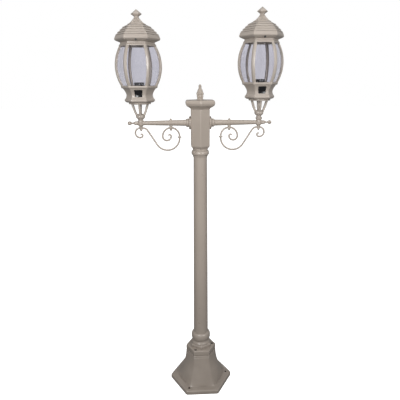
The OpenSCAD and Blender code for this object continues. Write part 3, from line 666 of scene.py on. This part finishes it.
def buildHead(look):
    neck = turned(rounded(look["neckRound"], 1.0), castPaint, columns=73)
    body = turned(rounded(look["body"], 2.5), castPaint, "hex", columns=97, turn=30, sharpness=110)
    makePiece("headBlock", joined([neck, body]), "post", ["head_block"])
    cap = [(0, 1280.1)] + spline(look["cap"], 3) + [(0, 1316)]
    cap = turned(cap, castPaint, "hex", columns=97, turn=30, sharpness=80)
    makePiece("headCap", cap, "post", ["head_cap"])
    leaf, tip = look["leaf"], look["leafTip"]

    def leafDepth(r, z):
        return sum(d * max(0.0, 1 - abs(z - middle) / reach) for middle, reach, d in (leaf, tip))

    finial = [(0, 1316.1)] + spline(look["finial"], 4)
    finial = turned(finial, castPaint, columns=73, flutes=6, flute=leafDepth)
    makePiece("postFinial", finial, "post", ["post_finial"], angle=60)


buildHead(headShape)
print("column and head built")

# arms

sides = ("left", "right")
armAxis = 1225.0
armReach = 240.0
clipAt = 119.0
armShape = {
    "flange": [(8.1, 38), (26, 38), (26, 43), (24.4, 45.2), (21.5, 46), (8.1, 46)],
    "arm": [(0, 24), (8, 24), (8, 46), (16.8, 46), (17, 47), (17, 54), (15.2, 57), (12.8, 58), (12.5, 60),
            (8.1, 238), (7.5, 246), (7.5, 250), (8.1, 252), (8.1, 255), (7.5, 257), (7.5, 263.9), (0, 263.9)],
    "hub": [(0, 1209.5), (7.5, 1209.5), (7.5, 1212.6), (9.4, 1215), (12, 1216.4), (12.4, 1220), (12.4, 1230),
            (12, 1233.6), (10.6, 1235), (0, 1235)],
    "clipPad": [(0, 1209.5), (6.5, 1209.5), (6.5, 1214), (5.5, 1218), (5.5, 1237), (0, 1237)],
    "tip": [(0, 255), (3, 255), (3, 264.2), (6, 264.2), (6.2, 265.6), (5.2, 267.2), (3.7, 269.5), (3.2, 273),
            (3.4, 276), (5, 277.8), (7, 280.6), (7.7, 284.6), (7.3, 288.2), (5.8, 291), (3.2, 292.9),
            (0, 293.3)],
    "knob": [(0, 1196), (1.95, 1196), (1.95, 1237), (4.2, 1237), (4.6, 1238), (4.4, 1239.4), (3.2, 1240.6),
             (2.4, 1242), (1.2, 1243.4), (0, 1244)],
    "drop": [(0, 1192.6), (1.6, 1193), (2.6, 1194.2), (3.6, 1196), (5.2, 1197.4), (5.6, 1199), (5.4, 1200.6),
             (4.4, 1201.4), (0, 1201.5)],
}


def towardsSide(side):
    # pieces are made on the right arm and turned half round for the left
    return Matrix.Rotation(math.pi if side == "left" else 0.0, 4, "Z")


def buildArm(side, look):
    face = towardsSide(side) @ shift(z=armAxis) @ alongX
    stand = towardsSide(side)
    beam = moved(turned(rounded(look["arm"], 0.8), castPaint, columns=49), face)
    hub = moved(turned(rounded(look["hub"], 0.9), castPaint, columns=49), stand @ shift(armReach))
    pad = moved(turned(rounded(look["clipPad"], 0.8), castPaint, columns=37), stand @ shift(clipAt))
    makePiece(side + "ArmBeam", joined([beam, hub, pad]), "post", [side + "_arm"])
    flange = turned(closed(rounded(look["flange"], 1.2)), castPaint, columns=73)
    makePiece(side + "ArmFlange", moved(flange, face), "post", [side + "_arm_flange"])
    tip = turned(spline(look["tip"][3:], 3), castPaint, columns=49)
    shank = turned(look["tip"][:3] + [(0, 264.2)], castPaint, columns=25)
    makePiece(side + "ArmTip", moved(joined([shank, tip]), face), "post", [side + "_arm_tip"],
              angle=50)


def buildFixings(look):
    knob = turned(look["knob"], castPaint, columns=37)
    drop = turned(rounded(look["drop"], 0.5), castPaint, columns=37)
    turns = [towardsSide(side) for side in sides]
    knobs = [moved(knob, turn @ shift(clipAt)) for turn in turns]
    drops = [moved(drop, turn @ shift(x)) for turn in turns for x in (clipAt, armReach)]
    makePiece("clipKnobs", joined(knobs), "post", ["clip_bolts"], angle=45)
    makePiece("dropNuts", joined(drops), "post", ["scroll_drops"], angle=45)


scrollShape = {
    "radius": 3.5, "top": 1205.5, "bow": 50.0, "bowDrop": 38.0, "rise": 58.5, "knuckle": 84.5, "curl": 19.5,
    "eye": [(2.1, -4), (5.4, -4), (6.2, -3), (6.4, 0), (6.2, 3), (5.4, 4), (2.1, 4)],
    "collarUp": 3.4, "collar": [(0, -3), (4.4, -3), (5.6, -1.6), (5.8, 0), (5.6, 1.6), (4.4, 3), (0, 3)],
    "leaf": [(0, -9.4), (1.1, -8.6), (2.3, -6), (2.6, -3), (2.6, 3), (2.3, 6), (1.1, 8.6), (0, 9.4)],
}


def arc(cx, cz, radius, first, last, step):
    count = max(2, int(abs(last - first) / step))
    turns = [math.radians(first + (last - first) * i / count) for i in range(count + 1)]
    return [(cx + radius * math.cos(turn), cz + radius * math.sin(turn)) for turn in turns]


def scrollPath(look):
    # the rod's middle: the inner curl and its crown, the long bow, and the curl under the arm's end
    knuckle, bow, rise, curl = (look[key] for key in ("knuckle", "bow", "rise", "curl"))
    crown = clipAt - knuckle
    curlAt = armReach + 4.3
    runs = [
        arc(clipAt + 6.5, -crown, 6.5, 30, 180, 12),
        arc(clipAt + crown / 2, -crown, crown / 2, 180, 360, 8),
        arc(clipAt, -crown, crown, 0, 180, 5),
        arc(knuckle + bow, -look["radius"] - look["bowDrop"], bow, 180, 270 + rise, 4),
        arc(curlAt - 12, -22, 22, 90 + rise, 90, 6),
        arc(curlAt, -curl, curl, 90, -90, 7),
        arc(curlAt, -1.5 * curl, curl / 2, -90, -180, 12),
        arc(curlAt - curl / 4, -1.5 * curl, curl / 4, -180, -320, 18),
    ]
    path = []
    for x, z in (spot for run in runs for spot in run):
        spot = (x, 0.0, z + look["top"])
        if not path or math.dist(path[-1], spot) > 0.3:
            path.append(spot)
    return path


def buildScroll(side, look):
    eye = turned(closed(look["eye"]), castPaint, columns=37)
    # the knuckle: a collar round the rod with a pointed leaf to each side
    atKnuckle = shift(look["knuckle"], z=look["top"] - look["radius"] - look["bowDrop"] + look["collarUp"])
    collar = turned(look["collar"], castPaint, columns=37)
    leaf = turned(spline(look["leaf"], 2), castPaint, columns=25)
    parts = [rod(scrollPath(look), look["radius"], castPaint, sides=16, taper=0.72)]
    parts += [moved(eye, shift(x, z=look["top"])) for x in (clipAt, armReach)]
    parts += [moved(collar, atKnuckle), moved(leaf, atKnuckle @ alongX)]
    makePiece(side + "ScrollRod", moved(joined(parts), towardsSide(side)), "post",
              [side + "_scroll"], angle=50)


for side in sides:
    buildArm(side, armShape)
    buildScroll(side, scrollShape)
buildFixings(armShape)
print("arms and scrolls built")

# lanterns: heights are those of the left one, the right one stands on a ring

ringHigh = 11.5
lanternAt = {"left": shift(-armReach), "right": shift(armReach, z=ringHigh)}
cos30 = math.cos(math.pi / 6)
tan30 = math.tan(math.pi / 6)
hingeSpot = shift(y=67 * cos30 + 9, z=1526.0)
cageShape = {
    "low": 1371.0, "high": 1516.0, "widest": 91.8, "end": 72.4, "ribWidth": 9.5, "ribThick": 4.0,
    "webThick": 4.4, "webDeep": 13.0, "glass": 3.0,
    "lowerRing": [(59.4, 1361.1), (68.4, 1361.1), (70.6, 1362), (72, 1364), (72.6, 1367), (72.6, 1370),
                  (71.6, 1371), (59.4, 1371)],
    "collar": [(59.4, 1516), (71.4, 1516), (72.4, 1517), (72.4, 1520), (71.6, 1522.4), (70, 1523.6),
               (68.6, 1524), (68.2, 1525.4), (67.4, 1526), (67, 1530.8), (57, 1530.9), (57, 1538.9),
               (53, 1538.9), (53, 1526), (59.4, 1526)],
}


def cageRadius(z):
    look = cageShape
    tall, drop = look["high"] - look["low"], look["widest"] - look["end"]
    bend = (tall * tall / 4 + drop * drop) / (2 * drop)
    z = min(max(z, look["low"]), look["high"])
    off = z - (look["low"] + look["high"]) / 2
    return look["widest"] - bend + math.sqrt(bend * bend - off * off)


def ribMesh(look):
    # two flat strips that meet at the corner, with a fine raised ridge along it
    w, t, web = look["ribWidth"], look["ribThick"], look["webThick"] / 2
    rings, steps = [], 36
    for i in range(steps + 1):
        z = look["low"] - 1 + (look["high"] - look["low"] + 2) * i / steps
        r = cageRadius(z)

        def strip(along, deep):
            # along: distance from the corner down one face; deep: distance in from that face
            return (r - along * 0.5 - deep * cos30, along * cos30 - deep * 0.5, z)

        root = r - t / cos30 - web * tan30
        half = [strip(1.3, 0.0), strip(1.9, 0.7), strip(w - 1.2, 0.7), strip(w - 0.3, 1.1), strip(w, 1.9),
                strip(w, t), (root, web, z), (r - look["webDeep"], web, z)]
        rings.append([(r - 0.3, 0.0, z)] + half + [(x, -y, z) for x, y, z in reversed(half)])
    return loft(rings, lanternPaint)


def paneMesh(look):
    rings, steps = [], 40
    across = [-1, -0.6, -0.2, 0.2, 0.6, 1]
    for i in range(steps + 1):
        z = look["low"] + (look["high"] - 0.3 - look["low"]) * i / steps
        r = cageRadius(z) - look["ribThick"] / cos30 - 0.3
        a, w1 = r * cos30, r / 2 - look["webThick"] / 2 / cos30 - 0.4
        w2 = w1 - look["glass"] * tan30
        front = [(a, w1 * s, z) for s in across]
        back = [(a - look["glass"], w2 * s, z) for s in reversed(across)]
        rings.append(front + back)
    return loft(rings, clearPane)


lanternShape = {
    "ring": [(6.6, 1235), (10.8, 1235), (11, 1236.6), (12.4, 1238.4), (13.9, 1241), (14.2, 1243), (13.2, 1245),
             (11.6, 1246), (6.6, 1246.4)],
    "boss": [(6.6, 1235), (10.4, 1235), (10.6, 1236), (10.6, 1240), (11.2, 1241.6), (14, 1243), (16.6, 1245),
             (18.5, 1248.6), (18.9, 1252), (18.5, 1255.4), (16.6, 1259), (13, 1261.6), (6.6, 1262.4)],
    "disc": [(6.6, 1300), (38, 1300), (42.6, 1300.6), (43.8, 1302), (43.8, 1304.4), (42.8, 1305.9),
             (6.6, 1305.9)],
    "bars": [(12.8, 1253), (16.0, 1259.6), (19.8, 1268), (23.2, 1277.4), (26.2, 1287), (28.8, 1295.4),
             (30.8, 1303)],
    "barWidth": 9.0, "barDepth": 9.2, "barCorner": 1.6,
    "bowl": [(43.6, 1306.1), (52, 1307.2), (56.4, 1309.4), (59.6, 1312), (60.6, 1315.2), (59.8, 1318.6),
             (57.4, 1321.6), (54.6, 1326), (53, 1331), (52.6, 1336), (53.8, 1341.4), (57, 1348.4), (61, 1354.6),
             (64.6, 1359), (65.6, 1360.9)],
    "insert": {"low": 1328.6, "high": 1356, "lowHalf": 13.7, "highHalf": 16.5, "sunk": 0.6, "thick": 2.9,
               "corner": 2.2},
    "holder": [(6.6, 1325), (11, 1325), (13, 1331), (17.6, 1335.4), (19.2, 1337.6), (19.6, 1339.4), (19.6, 1346),
               (19, 1347), (19, 1352), (19.6, 1353), (19.6, 1372)],
    "holderRim": [(19.7, 1373), (19.7, 1383.2), (19, 1383.9), (15.4, 1384)],
    "gripDepth": 0.09,
    "holderBore": [(13.4, 1384), (13.3, 1382), (13.3, 1353.2), (6.6, 1353)],
}


def buildStem(side, look):
    up = lanternAt[side]
    boss = turned(closed(rounded(look["boss"], 0.9)), lanternPaint, columns=73)
    disc = turned(closed(rounded(look["disc"], 0.7)), lanternPaint, columns=73)
    w, d, c = look["barWidth"] / 2, look["barDepth"] / 2, look["barCorner"]
    section = [(d, w - c), (d - c, w), (c - d, w), (-d, w - c)]
    section += [(p, -q) for p, q in reversed(section)]
    middle = spline(look["bars"], 4)
    rings = []
    for i, (r, z) in enumerate(middle):
        before, after = middle[max(i - 1, 0)], middle[min(i + 1, len(middle) - 1)]
        along = (Vector(after) - Vector(before)).normalized()
        rings.append([(r + along.y * p, q, z - along.x * p) for p, q in section])
    bars = around(loft(rings, lanternPaint), 4, 0, lanternPaint)
    stem = moved(joined([boss, disc, bars]), up)
    makePiece(side + "StemCage", stem, "post", [side + "_stem"], angle=40)


def insertMesh(look, line, grow=0.0, forCut=False):
    # the tapered plate follows the bowl's front wall
    def wall(z):
        for (r1, z1), (r2, z2) in zip(line, line[1:]):
            if z1 <= z <= z2:
                return (r1 + (r2 - r1) * (z - z1) / max(z2 - z1, 1e-6)) * cos30
        return line[-1][0] * cos30

    rings, steps = [], 22
    tall, c = look["high"] - look["low"], look["corner"]
    crown = [(-1, 0.0), (-0.94, 0.35), (0, 0.5), (0.94, 0.35), (1, 0.0)]
    for i in range(steps + 1):
        v = i / steps
        z = look["low"] - grow + (tall + 2 * grow) * v
        half = look["lowHalf"] + (look["highHalf"] - look["lowHalf"]) * v + grow
        edge = min(z - look["low"] + grow, look["high"] + grow - z)
        if edge < c:
            half -= c - math.sqrt(max(c * c - (c - edge) ** 2, 0))
        out = wall(z) + (8 if forCut else -look["sunk"])
        deep = out - (22 if forCut else look["thick"])
        front = [(half * s, -out - (0.0 if forCut else bulge - 0.5), z) for s, bulge in crown]
        back = [(half * s, -deep, z) for s in (1, 0, -1)]
        rings.append(front + back)
    return loft(rings, blackInsert)


def buildBowl(side, look):
    up = lanternAt[side]
    outer = spline(look["bowl"], 3)
    inner = [(r - 5.2, z) for r, z in look["bowl"] if z > 1316]
    line = outer + [(60.4, 1361), *reversed(inner[:-1]), (50, 1311.2), (6.6, 1311), (6.6, 1306.1), outer[0]]
    shell = turned(line, lanternPaint, "hex", columns=97, sharpness=60)
    shell = carved(shell, [insertMesh(look["insert"], outer, 0.05, True)])
    makePiece(side + "BowlCasting", moved(shell, up), "post", [side + "_bowl"], angle=35)
    plate = insertMesh(look["insert"], outer)
    makePiece(side + "DarkInsert", moved(plate, up), "post", [side + "_window"], angle=40)


def knuckleMesh(x0, x1):
    barrel = rounded([(2.1, x0), (4.5, x0), (4.5, x1), (2.1, x1)], 0.5)
    return moved(turned([*barrel, (2.1, x0)], lanternPaint, columns=37), hingeSpot @ alongX)


def buildCage(side, look):
    up = lanternAt[side]
    parts = [turned(closed(rounded(look[part], 0.8)), lanternPaint, "hex", columns=97, sharpness=80)
             for part in ("lowerRing", "collar")]
    parts.append(around(ribMesh(look), 6, 0, lanternPaint))
    for x0, x1 in ((-16.5, -7.8), (7.8, 16.5)):
        tab = block((x0, -8, -4.4), (x1, -2.4, -0.2), 0.5, lanternPaint)
        parts += [knuckleMesh(x0, x1), moved(tab, hingeSpot)]
    cage = moved(joined(parts), up)
    makePiece(side + "LanternCage", cage, "post", [side + "_cage"], angle=35)
    panes = moved(around(paneMesh(look), 6, 30, clearPane), up)
    paneNodes = [f"{side}_pane_{k}" for k in range(1, 7)]
    makePiece(side + "GlassPanes", panes, "post", paneNodes, angle=40)


def buildHolder(side, look):
    up = lanternAt[side]
    line = rounded(look["holder"], 0.5) + look["holderRim"] + look["holderBore"] + [(6.6, 1325)]

    def grip(r, z):
        return look["gripDepth"] if z > 1372 and r > 18 else 0.0

    mesh = turned(line, holderPlastic, columns=97, flutes=12, flute=grip)
    makePiece(side + "LampHolder", moved(mesh, up), "post", [side + "_lamp_holder"], angle=40)


roofShape = {
    "eaves": [(59, 1534), (59, 1531.05), (68, 1531.05), (74, 1533.4), (82.5, 1536.6), (86.6, 1539), (88.5, 1542),
              (88.5, 1544.4)],
    "band": [(88, 1545.6), (84.2, 1555.4)],
    "tiers": [(80.4, 1557.4, 73.8, 1564.6), (73.2, 1565.6, 64.8, 1573.6),
              (63.6, 1574.6, 54.4, 1583.2), (52.8, 1584.2, 38.6, 1593.2)],
    "lip": 2.3, "lipHeight": 1.7,
    "inside": [(0, 1590), (30, 1588), (48, 1579), (66, 1563), (76, 1551), (79, 1543)],
    "spire": [(34.6, 1593.6), (35.4, 1595), (34.6, 1596.6), (31.6, 1597.4), (30.6, 1598.4), (26.6, 1600.6),
              (23.6, 1603.6), (20.8, 1606.4), (18.2, 1609), (15.4, 1611.8), (12.8, 1614.8), (10.6, 1618),
              (9.3, 1621)],
    "knob": [(9.1, 1621.6), (9.6, 1623), (20.4, 1630.6), (21, 1631.4), (20.4, 1632.4), (1.6, 1647.6),
             (0, 1648)],
    "lock": {"height": 1535.0, "depth": 66.7, "recess": 4.2},
    "screw": [(0, 49.8), (1.6, 49.8), (2, 50.3), (2, 66.7), (3.1, 66.7), (3.5, 67.1), (3.5, 69.8), (2.9, 70.6),
              (0, 70.7)],
}


def buildRoof(side, look):
    up = lanternAt[side]
    body = side + "_roof"
    line = rounded(look["eaves"] + look["band"], 1.0)
    for r1, z1, r2, z2 in look["tiers"]:
        # each course laps over the one below
        line += [(r1, z1 - 0.4), (r1 + look["lip"], z1 - 0.2), (r1 + look["lip"] + 0.3, z1 + 0.5),
                 (r1 + look["lip"] - 0.4, z1 + look["lipHeight"]), (r2, z2)]
    line += [(30, 1594), (0, 1594)] + look["inside"] + [look["eaves"][0]]
    shell = turned(line, lanternPaint, "hex", columns=97, sharpness=150)
    lock = look["lock"]
    front = shift(z=lock["height"]) @ towardsFront
    recess = moved(cylinderTool(lock["recess"], lock["depth"], 95), front)
    shell = carved(shell, [recess])
    leaf = moved(block((-7.4, -3.6, 2.4), (7.4, 3.9, 12), 0.6, lanternPaint), hingeSpot)
    shell = joined([shell, knuckleMesh(-7.5, 7.5), leaf])
    makePiece(side + "RoofCasting", moved(shell, up), body, [side + "_roof"], angle=30)

    def pleats(r, z):
        return 0.13 if 1598 < z < 1621 else 0.0

    # the pleated cone and the six-sided diamond on it
    cone = [(0, look["spire"][0][1])] + look["spire"] + [(9.1, 1621.6), (0, 1621.6)]
    cone = turned(cone, lanternPaint, "hex", columns=145, sharpness=90, flutes=24, flute=pleats,
                  roundness=0.7)
    knob = turned([(0, 1620)] + look["knob"], lanternPaint, "hex", columns=49, sharpness=400)
    spire = joined([cone, knob])
    makePiece(side + "RoofSpire", moved(spire, up), body, [side + "_spire"], angle=30)
    screw = turned(look["screw"], screwBlack, columns=37)
    slot = block((-4, -0.5, 69.5), (4, 0.5, 75), 0, screwBlack)
    screw = moved(carved(screw, [slot]), front)
    makePiece(side + "LockScrew", moved(screw, up), side + "_lock", [side + "_lock_screw"])


for side in sides:
    buildStem(side, lanternShape)
    buildBowl(side, lanternShape)
    buildCage(side, cageShape)
    buildHolder(side, lanternShape)
    buildRoof(side, roofShape)
    print(side, "lantern built")

ring = turned(closed(rounded(lanternShape["ring"], 0.8)), lanternPaint, columns=73)
makePiece("stemRing", shifted(ring, armReach), "post", ["right_stem_ring"])

# finishes of the CAD parts that stay

keptFinish = {
    zincSteel: ["tie_rod", "tie_nut", "arm_locknuts", "stem_studs", "conduit_nuts", "left_hinge_pin",
                "right_hinge_pin"],
    terminalPlastic: ["terminal_block"],
    lanternPaint: ["left_conduit", "right_conduit"],
    wirePlastic: ["left_lead", "right_lead"],
}
for finish, names in keptFinish.items():
    for name in names:
        for spot in frame["nodes"][name].material_slots:
            spot.material = finish
print("kept parts painted")

# floor, light and camera

stageLook = {"size": 40.0, "floor": (0.55, 0.55, 0.55), "worn": (0.542, 0.542, 0.542), "floorGlow": 1.1,
             "seen": 1.0, "above": 0.40, "below": 0.14}


def buildStage(look):
    bpy.ops.mesh.primitive_plane_add(size=look["size"], location=(0, 0, -0.0005))
    floor = bpy.context.object
    floor.name = "floor"
    mat, tree, shader, where = newMaterial("floorPaper")
    patches = noiseRange(tree, where, 1.2, 3.0, (0.3, 0.7), 0.0, 1.0)
    setShader(tree, shader, BaseColor=mixColours(tree, patches, look["floor"], look["worn"]), Roughness=0.9,
              EmissionColor=(1, 1, 1, 1), EmissionStrength=look["floorGlow"])
    floor.data.materials.append(mat)
    floor.visible_diffuse = False
    floor.visible_glossy = False
    # the room is white to look at, and gives a soft fill that is weaker from below
    world = bpy.data.worlds.new("paleRoom")
    scene.world = world
    world.use_nodes = True
    tree = world.node_tree
    background = tree.nodes["Background"]
    where = node(tree, "ShaderNodeTexCoord").outputs["Generated"]
    height = node(tree, "ShaderNodeSeparateXYZ", {0: where}).outputs[2]
    fill = rangeOf(tree, height, -0.6, 0.6, look["below"], look["above"])
    path = node(tree, "ShaderNodeLightPath")
    straight = sums(tree, "MAXIMUM", path.outputs["Is Camera Ray"], path.outputs["Is Transmission Ray"])
    extra = sums(tree, "MULTIPLY", straight, sums(tree, "SUBTRACT", look["seen"], fill))
    feed(tree, background.inputs["Strength"], sums(tree, "ADD", fill, extra))
    feed(tree, background.inputs["Color"], (1, 1, 1, 1))


lightLook = {
    "softLeft": {"spot": (-0.85, -2.05, 1.75), "aim": 1.1, "size": (0.5, 1.2), "power": 29},
    "softRight": {"spot": (1.2, -1.85, 1.75), "aim": 1.1, "size": (0.5, 1.2), "power": 18.5},
    "softTop": {"spot": (0.0, -0.6, 3.4), "aim": 1.4, "size": (1.4, 1.4), "power": 9},
}


def softLight(name, look):
    # a soft box turned towards a height on the post's axis
    data = bpy.data.lights.new(name, "AREA")
    data.shape = "RECTANGLE"
    data.size, data.size_y = look["size"]
    data.energy = look["power"]
    lamp = bpy.data.objects.new(name, data)
    scene.collection.objects.link(lamp)
    lamp.location = look["spot"]
    away = Vector((0, 0, look["aim"])) - Vector(look["spot"])
    lamp.rotation_euler = away.to_track_quat("-Z", "Y").to_euler()


buildStage(stageLook)
for name, look in lightLook.items():
    softLight(name, look)

# daylight reaches the holder through the panes
for piece in scene.objects:
    if "Pane" in piece.name:
        piece.visible_shadow = False
        piece.visible_diffuse = False

cameraLook = {"spot": (-0.089, -1.698, 1.391), "lens": 37.1, "film": 36.0, "down": 16.2, "roll": 0.2}


def placeCamera(look):
    data = bpy.data.cameras.new("camera")
    data.lens = look["lens"]
    data.sensor_width = look["film"]
    camera = bpy.data.objects.new("camera", data)
    scene.collection.objects.link(camera)
    camera.location = look["spot"]
    # aimed at the post's axis, then tipped down
    yaw = math.atan2(-look["spot"][0], -look["spot"][1])
    camera.rotation_euler = (math.radians(90 - look["down"]), math.radians(look["roll"]), -yaw)
    scene.camera = camera


placeCamera(cameraLook)
scene.view_settings.view_transform = "Standard"

print("scene ready")
